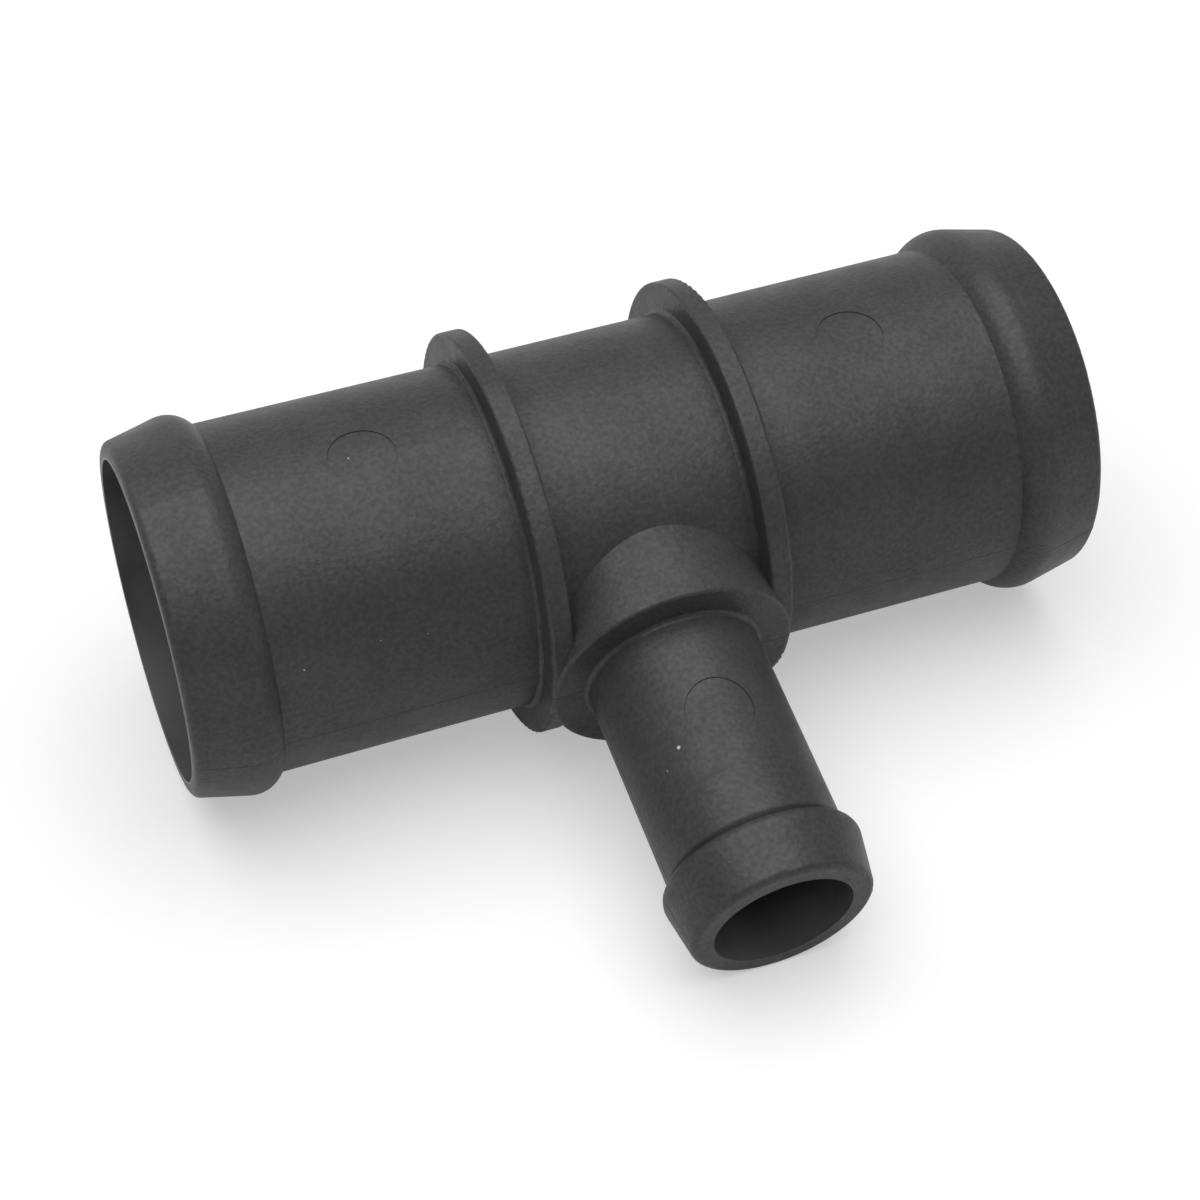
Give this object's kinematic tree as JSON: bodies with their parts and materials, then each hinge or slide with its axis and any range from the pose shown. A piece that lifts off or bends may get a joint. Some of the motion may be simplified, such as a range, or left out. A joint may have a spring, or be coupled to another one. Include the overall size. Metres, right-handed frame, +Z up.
{
  "type": "hose tee",
  "caption": "Moulded plastic reducing tee for hoses: a straight beaded run with stop flanges, and a smaller beaded branch at right angles to it.",
  "frame": {"origin": "where the run's axis and the branch's axis cross, at the middle of the run bore, 22.2 mm above the surface that the tee lies on", "axes": "+X along the run and its bore, +Z up as the tee lies at rest; the branch leaves towards -Y and slopes 13.74 degrees down, until its tip touches the surface"},
  "size_m": [0.1018, 0.0765, 0.0444],
  "materials": {
    "moulding": "matt charcoal, fine spark-eroded grain"
  },
  "bodies": {
    "root": {"hose_tee": "moulding"}
  },
  "joints": []
}
